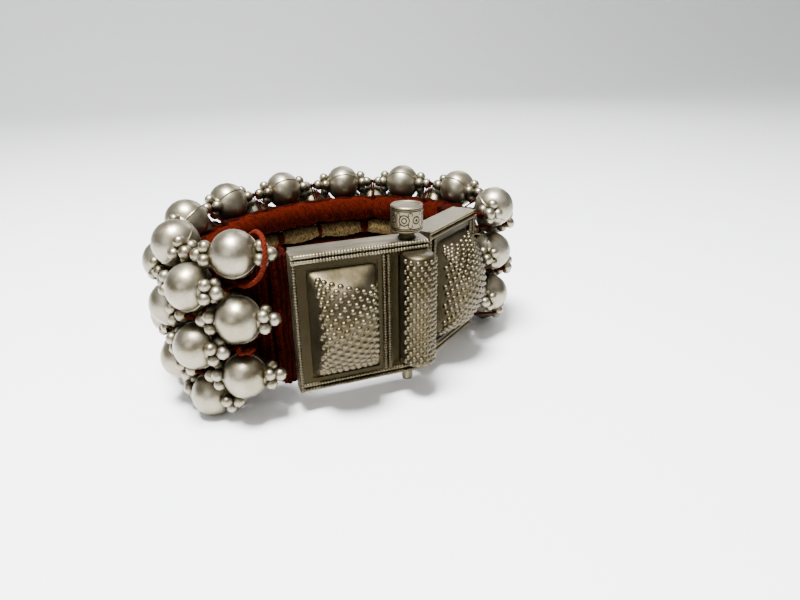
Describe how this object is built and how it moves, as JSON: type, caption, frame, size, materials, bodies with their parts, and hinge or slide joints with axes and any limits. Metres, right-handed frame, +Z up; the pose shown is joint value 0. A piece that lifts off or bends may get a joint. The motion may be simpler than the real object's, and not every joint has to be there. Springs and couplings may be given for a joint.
{
  "type": "wrist bracelet with a pin-closed box clasp",
  "caption": "Wide wrist bracelet: rows of small silver balls tied over wrapped cotton cords, closed by two boxes with domed, grained panels and a headed pin.",
  "frame": {"origin": "centre of the bounding box at the surface that the bracelet lies on", "axes": "+X along the left box's front, towards the right box; +Z up through the wrist hollow; +Y from the clasp's front to the far side"},
  "size_m": [0.092, 0.0692, 0.0423],
  "materials": {
    "silver": "old silver, softly polished on the high places and dark in the recesses",
    "red_cotton": "brick-red cotton thread, wrapped",
    "khaki_cotton": "olive-gold cotton thread, wrapped"
  },
  "bodies": {
    "bracelet": {"clasp_left": "silver", "clasp_right": "silver", "end_roll_left": "red_cotton", "end_roll_right": "red_cotton", "bead_row_1": "silver", "bead_row_2": "silver", "bead_row_3": "silver", "bead_row_4": "silver", "bead_row_5": "silver", "bead_row_6": "silver", "row_thread_1": "red_cotton", "row_thread_2": "red_cotton", "row_thread_3": "red_cotton", "row_thread_4": "red_cotton", "row_thread_5": "red_cotton", "row_thread_6": "red_cotton", "cord_top": "red_cotton", "cord_upper": "khaki_cotton", "cord_middle": "red_cotton", "cord_lower": "khaki_cotton", "cord_bottom": "red_cotton"},
    "pin": {"clasp_pin": "silver"}
  },
  "joints": [
    {"name": "pin_slide", "type": "slide", "parent": "bracelet", "child": "pin", "axis": [0, 0, 1], "range_m": [0, 0.0336]}
  ]
}
